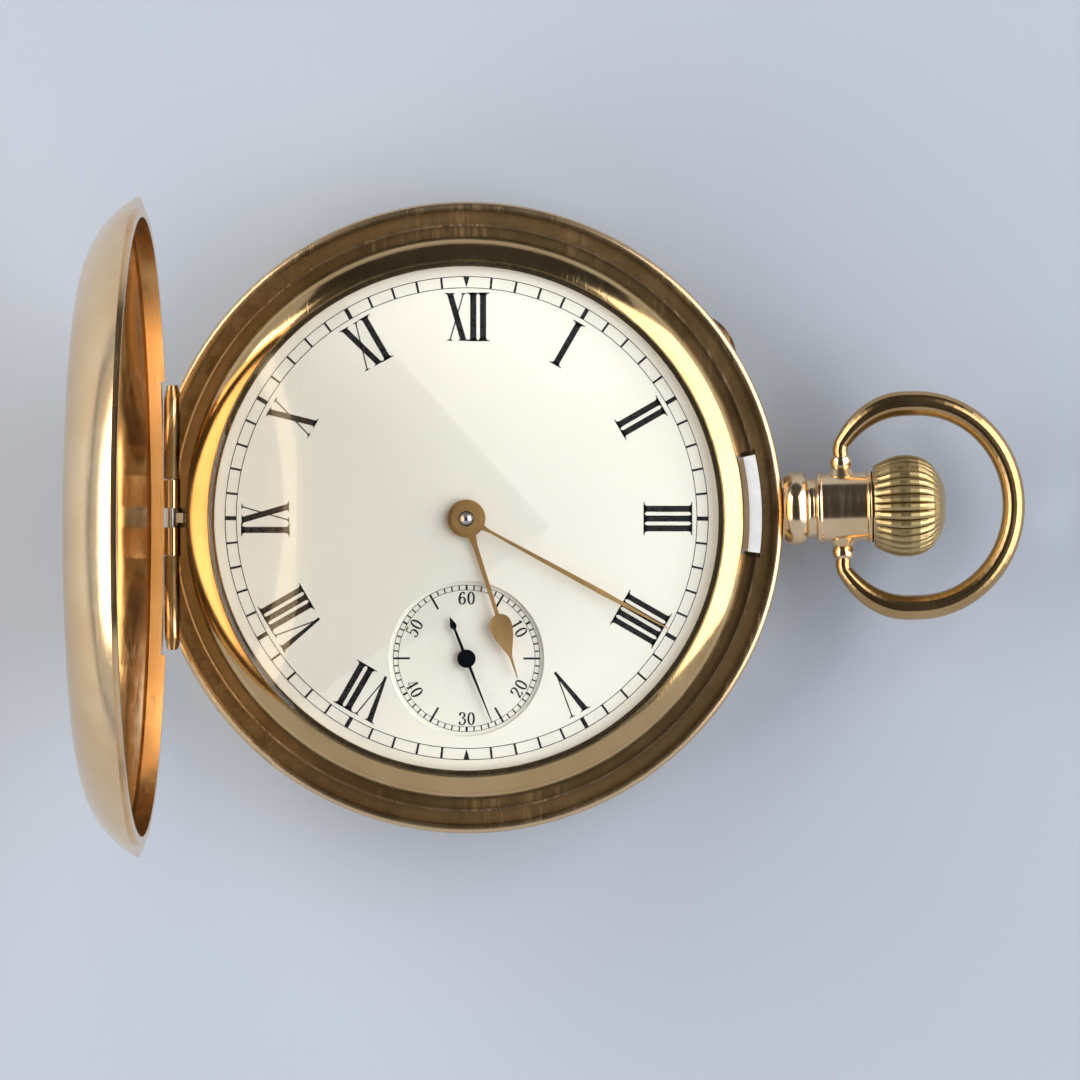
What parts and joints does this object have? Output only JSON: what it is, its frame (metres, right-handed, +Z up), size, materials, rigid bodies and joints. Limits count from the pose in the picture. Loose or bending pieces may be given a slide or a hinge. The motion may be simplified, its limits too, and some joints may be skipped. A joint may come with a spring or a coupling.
{
  "type": "full hunter pocket watch",
  "caption": "Stem-wound hunter pocket watch with sprung lid, enamel dial, sunk seconds, bow, inner dust cover and going train.",
  "frame": {"origin": "centre of the small flat on the back cover that the watch rests on", "axes": "+Z up out of the dial, +X toward the pendant, +Y toward twelve; the cover hinges run along Y"},
  "size_m": [0.0757, 0.052, 0.058],
  "materials": {
    "gold_case": "polished, finely worn",
    "hand_gold": "polished",
    "glass": "clear, domed",
    "enamel": "glossy",
    "steel": "polished",
    "blued_steel": "blued",
    "nickel": "striped nickel plate",
    "gilt_brass": "gilt, fine grained",
    "ruby": "polished"
  },
  "bodies": {
    "case": {"case_middle": "gold_case", "pendant": "gold_case", "pendant_sleeve": "steel", "bezel": "gold_case", "crystal": "glass", "front_hinge_pin": "steel", "rear_hinge_pin": "steel", "lift_spring": "steel", "dial": "enamel", "seconds_dial": "enamel", "pillar_plate": "gilt_brass", "barrel_bridge": "nickel", "train_bridge": "nickel", "pallet_bridge": "nickel", "balance_cock": "nickel", "jewels": "ruby", "bridge_screws": "steel", "case_screws": "steel", "click_spring": "steel", "hairspring_stud": "steel"},
    "front_cover": {"front_cover": "gold_case"},
    "back_cover": {"back_cover": "gold_case"},
    "cuvette": {"cuvette": "gold_case"},
    "bow": {"bow": "gold_case"},
    "winding_pinion": {"winding_pinion": "steel"},
    "crown": {"crown": "gold_case", "stem": "steel"},
    "lock_spring": {"lock_spring": "steel"},
    "crown_wheel": {"crown_wheel": "steel"},
    "ratchet": {"ratchet_wheel": "steel", "barrel_arbor": "steel"},
    "click": {"click": "steel"},
    "barrel": {"barrel": "gilt_brass", "barrel_cover": "gilt_brass", "mainspring": "steel"},
    "center_wheel": {"center_wheel": "gilt_brass", "cannon_pinion": "steel", "minute_hand": "hand_gold"},
    "hour_wheel": {"hour_wheel": "gilt_brass", "hour_hand": "hand_gold"},
    "minute_wheel": {"minute_wheel": "gilt_brass"},
    "third_wheel": {"third_wheel": "gilt_brass"},
    "fourth_wheel": {"fourth_wheel": "gilt_brass", "seconds_hand": "blued_steel"},
    "escape_wheel": {"escape_wheel": "steel"},
    "pallet_fork": {"pallet_fork": "steel", "pallet_stones": "ruby"},
    "balance": {"balance_wheel": "gilt_brass", "balance_staff": "steel", "roller": "steel", "hairspring": "blued_steel"},
    "regulator": {"regulator": "steel"}
  },
  "joints": [
    {"name": "front_cover_hinge", "type": "hinge", "parent": "case", "child": "front_cover", "pos_m": [-0.02435, 0, 0.0077], "axis": [0, 1, 0], "range_deg": [0, 90], "stiffness_Nm_per_rad": 0.004},
    {"name": "back_cover_hinge", "type": "hinge", "parent": "case", "child": "back_cover", "pos_m": [-0.02435, 0, 0.0059], "axis": [0, 1, 0], "range_deg": [0, 100]},
    {"name": "cuvette_hinge", "type": "hinge", "parent": "case", "child": "cuvette", "pos_m": [-0.02435, 0, 0.0059], "axis": [0, 1, 0], "range_deg": [0, 85]},
    {"name": "bow_hinge", "type": "hinge", "parent": "case", "child": "bow", "pos_m": [0.03086, 0.00086, 0.0068], "axis": [-0.0279, 0.9996, 0], "range_deg": [-88, 88]},
    {"name": "winding_turn", "type": "hinge", "parent": "case", "child": "winding_pinion", "pos_m": [0.01649, 0.00046, 0.0068], "axis": [0.9996, 0.0279, 0], "continuous": true},
    {"name": "crown_slide", "type": "slide", "parent": "winding_pinion", "child": "crown", "axis": [0.9996, 0.0279, 0], "range_m": [-0.0005, 0.0009]},
    {"name": "catch_slide", "type": "slide", "parent": "case", "child": "lock_spring", "axis": [0.9987, 0.0506, 0], "range_m": [-0.0005, 0], "stiffness_N_per_m": 1000},
    {"name": "crown_wheel_turn", "type": "hinge", "parent": "case", "child": "crown_wheel", "pos_m": [0.01439, 0.0004, 0.0022], "axis": [0, 0, 1], "continuous": true},
    {"name": "ratchet_turn", "type": "hinge", "parent": "case", "child": "ratchet", "pos_m": [0.0059, 0.00739, 0.0022], "axis": [0, 0, 1], "continuous": true},
    {"name": "click_pivot", "type": "hinge", "parent": "case", "child": "click", "pos_m": [-0.0005, 0.01275, 0.0022], "axis": [0, 0, 1], "range_deg": [-12, 0], "stiffness_Nm_per_rad": 0.0001},
    {"name": "center_turn", "type": "hinge", "parent": "case", "child": "center_wheel", "pos_m": [0, 0, 0.0038], "axis": [0, 0, -1], "continuous": true},
    {"name": "hour_turn", "type": "hinge", "parent": "case", "child": "hour_wheel", "pos_m": [0, 0, 0.0076], "axis": [0, 0, -1], "continuous": true},
    {"name": "minute_wheel_turn", "type": "hinge", "parent": "case", "child": "minute_wheel", "pos_m": [0.00312, 0.0018, 0.0072], "axis": [0, 0, -1], "continuous": true},
    {"name": "barrel_turn", "type": "hinge", "parent": "case", "child": "barrel", "pos_m": [0.0059, 0.00739, 0.0043], "axis": [0, 0, -1], "continuous": true},
    {"name": "third_turn", "type": "hinge", "parent": "case", "child": "third_wheel", "pos_m": [0.00399, -0.00653, 0.0052], "axis": [0, 0, -1], "continuous": true},
    {"name": "fourth_turn", "type": "hinge", "parent": "case", "child": "fourth_wheel", "pos_m": [0, -0.0115, 0.0044], "axis": [0, 0, -1], "continuous": true},
    {"name": "escape_turn", "type": "hinge", "parent": "case", "child": "escape_wheel", "pos_m": [-0.00569, -0.0121, 0.0051], "axis": [0, 0, -1], "continuous": true},
    {"name": "pallet_swing", "type": "hinge", "parent": "case", "child": "pallet_fork", "pos_m": [-0.00688, -0.00902, 0.0051], "axis": [0, 0, 1], "range_deg": [-5, 5]},
    {"name": "balance_swing", "type": "hinge", "parent": "case", "child": "balance", "pos_m": [-0.0092, -0.003, 0.003], "axis": [0, 0, 1], "range_deg": [-220, 220], "stiffness_Nm_per_rad": 0.000002},
    {"name": "regulator_turn", "type": "hinge", "parent": "case", "child": "regulator", "pos_m": [-0.0092, -0.003, 0.0018], "axis": [0, 0, 1], "range_deg": [-15, 15]}
  ],
  "couplings": [
    {"joint": "cuvette_hinge", "follows": "back_cover_hinge", "ratio": 0.85},
    {"joint": "crown_wheel_turn", "follows": "winding_turn", "ratio": 0.5},
    {"joint": "ratchet_turn", "follows": "winding_turn", "ratio": -0.33333},
    {"joint": "center_turn", "follows": "fourth_turn", "ratio": 0.016667},
    {"joint": "hour_turn", "follows": "fourth_turn", "ratio": 0.0013889},
    {"joint": "minute_wheel_turn", "follows": "fourth_turn", "ratio": -0.0055556},
    {"joint": "barrel_turn", "follows": "fourth_turn", "ratio": -0.0025641},
    {"joint": "third_turn", "follows": "fourth_turn", "ratio": -0.13333},
    {"joint": "escape_turn", "follows": "fourth_turn", "ratio": -10}
  ]
}
